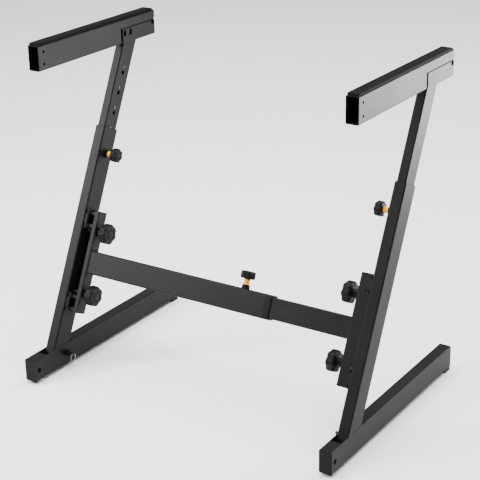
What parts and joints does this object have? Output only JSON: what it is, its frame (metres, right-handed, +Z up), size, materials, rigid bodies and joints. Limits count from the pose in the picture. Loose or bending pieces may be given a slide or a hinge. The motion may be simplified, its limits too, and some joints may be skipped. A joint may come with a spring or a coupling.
{
  "type": "folding keyboard stand",
  "caption": "Z-shaped folding keyboard stand of black steel tube: side frames with padded arms that telescope, a crossbar that slides for width, and legs and arms that fold.",
  "frame": {"origin": "on the floor, midway between the two side frames and midway along the legs", "axes": "+Z up, +X to the stand's right as seen from the front, +Y from the front to the rear"},
  "size_m": [0.7542, 0.522, 0.7247],
  "materials": {
    "black_steel": "black powder coat, satin",
    "black_plastic": "moulded, matt",
    "knob_plastic": "moulded, fine texture",
    "amber_plastic": "moulded, satin",
    "zinc_steel": "zinc plated",
    "black_bolt": "blackened",
    "pad_rubber": "textured, matt"
  },
  "bodies": {
    "crossbar": {"crossbar_outer": "black_steel", "crossbar_collar": "black_plastic", "hinge_bracket_left": "black_steel", "bracket_hinge_pins_left": "zinc_steel", "width_lock_boss": "black_plastic"},
    "crossbar_slide": {"crossbar_inner": "black_steel", "crossbar_plug": "black_plastic", "hinge_bracket_right": "black_steel", "bracket_hinge_pins_right": "zinc_steel"},
    "width_pull": {"width_lock_sleeve": "amber_plastic"},
    "width_knob": {"width_lock_knob": "knob_plastic"},
    "frame_right": {"upright_outer_right": "black_steel", "upright_guide_right": "black_plastic", "height_lock_boss_right": "black_plastic"},
    "mast_right": {"upright_inner_right": "black_steel", "upright_plug_right": "black_plastic", "arm_head_right": "black_steel", "arm_pivot_bolt_right": "black_bolt"},
    "arm_right": {"arm_tube_right": "black_steel", "arm_hinge_channel_right": "black_steel", "arm_pad_right": "pad_rubber"},
    "leg_right": {"leg_tube_right": "black_steel", "leg_front_cap_right": "black_plastic", "leg_rear_cap_right": "black_plastic", "leg_hinge_rivet_right": "black_bolt", "leg_lock_boss_right": "black_plastic"},
    "cam_right": {"levelling_cam_right": "black_plastic"},
    "leg_pin_right": {"leg_lock_pin_right": "black_bolt"},
    "ring_right": {"leg_lock_ring_right": "zinc_steel"},
    "clamp_upper_right": {"clamp_knob_upper_right": "knob_plastic"},
    "clamp_lower_right": {"clamp_knob_lower_right": "knob_plastic"},
    "height_pull_right": {"height_lock_sleeve_right": "amber_plastic"},
    "height_knob_right": {"height_lock_knob_right": "knob_plastic"},
    "frame_left": {"upright_outer_left": "black_steel", "upright_guide_left": "black_plastic", "height_lock_boss_left": "black_plastic"},
    "mast_left": {"upright_inner_left": "black_steel", "upright_plug_left": "black_plastic", "arm_head_left": "black_steel", "arm_pivot_bolt_left": "black_bolt"},
    "arm_left": {"arm_tube_left": "black_steel", "arm_hinge_channel_left": "black_steel", "arm_pad_left": "pad_rubber"},
    "leg_left": {"leg_tube_left": "black_steel", "leg_front_cap_left": "black_plastic", "leg_rear_cap_left": "black_plastic", "leg_hinge_rivet_left": "black_bolt", "leg_lock_boss_left": "black_plastic"},
    "cam_left": {"levelling_cam_left": "black_plastic"},
    "leg_pin_left": {"leg_lock_pin_left": "black_bolt"},
    "ring_left": {"leg_lock_ring_left": "zinc_steel"},
    "clamp_upper_left": {"clamp_knob_upper_left": "knob_plastic"},
    "clamp_lower_left": {"clamp_knob_lower_left": "knob_plastic"},
    "height_pull_left": {"height_lock_sleeve_left": "amber_plastic"},
    "height_knob_left": {"height_lock_knob_left": "knob_plastic"}
  },
  "joints": [
    {"name": "width_slide", "type": "slide", "parent": "crossbar", "child": "crossbar_slide", "axis": [1, 0, 0], "range_m": [-0.12, 0.15]},
    {"name": "width_lock_pull", "type": "slide", "parent": "crossbar", "child": "width_pull", "axis": [0, 0.4337, 0.9011], "range_m": [0, 0.006], "stiffness_N_per_m": 600, "springref_m": -0.01},
    {"name": "width_lock_turn", "type": "hinge", "parent": "width_pull", "child": "width_knob", "pos_m": [0.068, -0.069, 0.26235], "axis": [0, 0.4337, 0.9011], "range_deg": [0, 180]},
    {"name": "frame_fold_right", "type": "hinge", "parent": "crossbar_slide", "child": "frame_right", "pos_m": [0.3457, -0.10211, 0.2339], "axis": [0, -0.4337, -0.9011], "range_deg": [0, 90]},
    {"name": "height_slide_right", "type": "slide", "parent": "frame_right", "child": "mast_right", "axis": [0, 0.4337, 0.9011], "range_m": [-0.18, 0.045]},
    {"name": "arm_fold_right", "type": "hinge", "parent": "mast_right", "child": "arm_right", "pos_m": [0.362, 0.20585, 0.6942], "axis": [-1, 0, 0], "range_deg": [0, 115]},
    {"name": "leg_fold_right", "type": "hinge", "parent": "frame_right", "child": "leg_right", "pos_m": [0.362, -0.13602, 0.0599], "axis": [1, 0, 0], "range_deg": [0, 64]},
    {"name": "levelling_cam_turn_right", "type": "hinge", "parent": "leg_right", "child": "cam_right", "pos_m": [0.362, -0.2485, 0.0311], "axis": [1, 0, 0], "range_deg": [0, 40]},
    {"name": "leg_lock_pull_right", "type": "slide", "parent": "leg_right", "child": "leg_pin_right", "axis": [-1, 0, 0], "range_m": [0, 0.007], "stiffness_N_per_m": 500, "springref_m": -0.008},
    {"name": "ring_swing_right", "type": "hinge", "parent": "leg_pin_right", "child": "ring_right", "pos_m": [0.3297, -0.1583, 0.035], "axis": [0, 1, 0], "range_deg": [-8, 85]},
    {"name": "clamp_upper_turn_right", "type": "hinge", "parent": "crossbar_slide", "child": "clamp_upper_right", "pos_m": [0.302, -0.05642, 0.28848], "axis": [-1, 0, 0], "range_deg": [0, 360]},
    {"name": "clamp_lower_turn_right", "type": "hinge", "parent": "crossbar_slide", "child": "clamp_lower_right", "pos_m": [0.302, -0.11583, 0.16503], "axis": [-1, 0, 0], "range_deg": [0, 360]},
    {"name": "height_lock_pull_right", "type": "slide", "parent": "frame_right", "child": "height_pull_right", "axis": [-1, 0, 0], "range_m": [0, 0.006], "stiffness_N_per_m": 600, "springref_m": -0.01},
    {"name": "height_lock_turn_right", "type": "hinge", "parent": "height_pull_right", "child": "height_knob_right", "pos_m": [0.332, 0.0173, 0.44166], "axis": [-1, 0, 0], "range_deg": [0, 180]},
    {"name": "frame_fold_left", "type": "hinge", "parent": "crossbar", "child": "frame_left", "pos_m": [-0.3457, -0.10211, 0.2339], "axis": [0, 0.4337, 0.9011], "range_deg": [0, 90]},
    {"name": "height_slide_left", "type": "slide", "parent": "frame_left", "child": "mast_left", "axis": [0, 0.4337, 0.9011], "range_m": [-0.18, 0.045]},
    {"name": "arm_fold_left", "type": "hinge", "parent": "mast_left", "child": "arm_left", "pos_m": [-0.362, 0.20585, 0.6942], "axis": [-1, 0, 0], "range_deg": [0, 115]},
    {"name": "leg_fold_left", "type": "hinge", "parent": "frame_left", "child": "leg_left", "pos_m": [-0.362, -0.13602, 0.0599], "axis": [1, 0, 0], "range_deg": [0, 64]},
    {"name": "levelling_cam_turn_left", "type": "hinge", "parent": "leg_left", "child": "cam_left", "pos_m": [-0.362, -0.2485, 0.0311], "axis": [1, 0, 0], "range_deg": [0, 40]},
    {"name": "leg_lock_pull_left", "type": "slide", "parent": "leg_left", "child": "leg_pin_left", "axis": [1, 0, 0], "range_m": [0, 0.007], "stiffness_N_per_m": 500, "springref_m": -0.008},
    {"name": "ring_swing_left", "type": "hinge", "parent": "leg_pin_left", "child": "ring_left", "pos_m": [-0.3297, -0.1583, 0.035], "axis": [0, -1, 0], "range_deg": [-8, 85]},
    {"name": "clamp_upper_turn_left", "type": "hinge", "parent": "crossbar", "child": "clamp_upper_left", "pos_m": [-0.302, -0.05642, 0.28848], "axis": [1, 0, 0], "range_deg": [0, 360]},
    {"name": "clamp_lower_turn_left", "type": "hinge", "parent": "crossbar", "child": "clamp_lower_left", "pos_m": [-0.302, -0.11583, 0.16503], "axis": [1, 0, 0], "range_deg": [0, 360]},
    {"name": "height_lock_pull_left", "type": "slide", "parent": "frame_left", "child": "height_pull_left", "axis": [1, 0, 0], "range_m": [0, 0.006], "stiffness_N_per_m": 600, "springref_m": -0.01},
    {"name": "height_lock_turn_left", "type": "hinge", "parent": "height_pull_left", "child": "height_knob_left", "pos_m": [-0.332, 0.0173, 0.44166], "axis": [1, 0, 0], "range_deg": [0, 180]}
  ]
}
